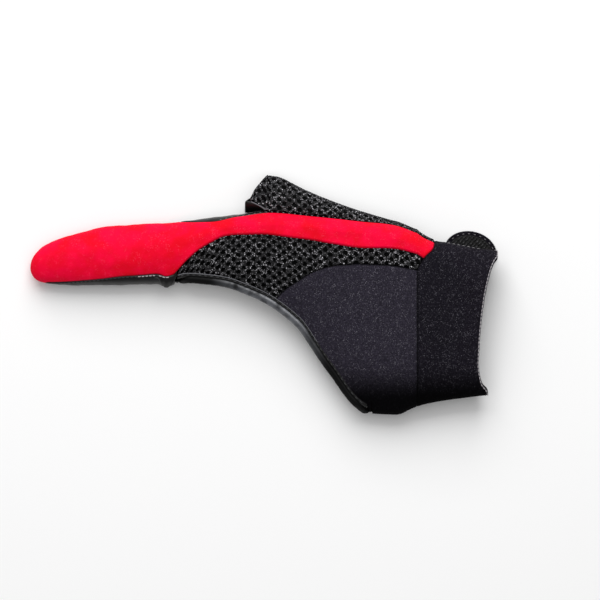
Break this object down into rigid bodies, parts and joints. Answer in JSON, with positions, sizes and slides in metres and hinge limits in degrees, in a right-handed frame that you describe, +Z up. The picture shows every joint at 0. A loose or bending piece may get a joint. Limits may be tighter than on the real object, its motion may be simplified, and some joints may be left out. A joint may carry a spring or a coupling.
{
  "type": "casting glove",
  "caption": "Left-hand fishing glove lying palm down: a full sleeve for the index finger, a short open thumb sleeve, a wide bound opening for the other fingers and a wrist cuff with a strap.",
  "frame": {"origin": "on the surface it lies on, under the middle of its footprint", "axes": "+X from the fingertip to the wrist, +Y to the thumb side, +Z up through the back of the hand"},
  "size_m": [0.2432, 0.1256, 0.028],
  "materials": {
    "red_stretch_fabric": "matt red stretch fabric",
    "open_mesh": "black open spacer mesh with a slight gloss on its threads",
    "neoprene": "black knit-faced foam",
    "synthetic_leather": "smooth black, semi-gloss",
    "strap_web": "black, with a smooth sewn edge",
    "hook_tape": "black ribbed hook tape"
  },
  "bodies": {
    "root": {"index_strip": "red_stretch_fabric", "hand_mesh": "open_mesh", "thumb_mesh": "open_mesh", "back_panel": "neoprene", "wrist_cuff": "neoprene", "palm": "synthetic_leather", "thumb_front": "synthetic_leather", "opening_binding": "synthetic_leather", "closure_strap": "strap_web", "hook_patch": "hook_tape"}
  },
  "joints": []
}
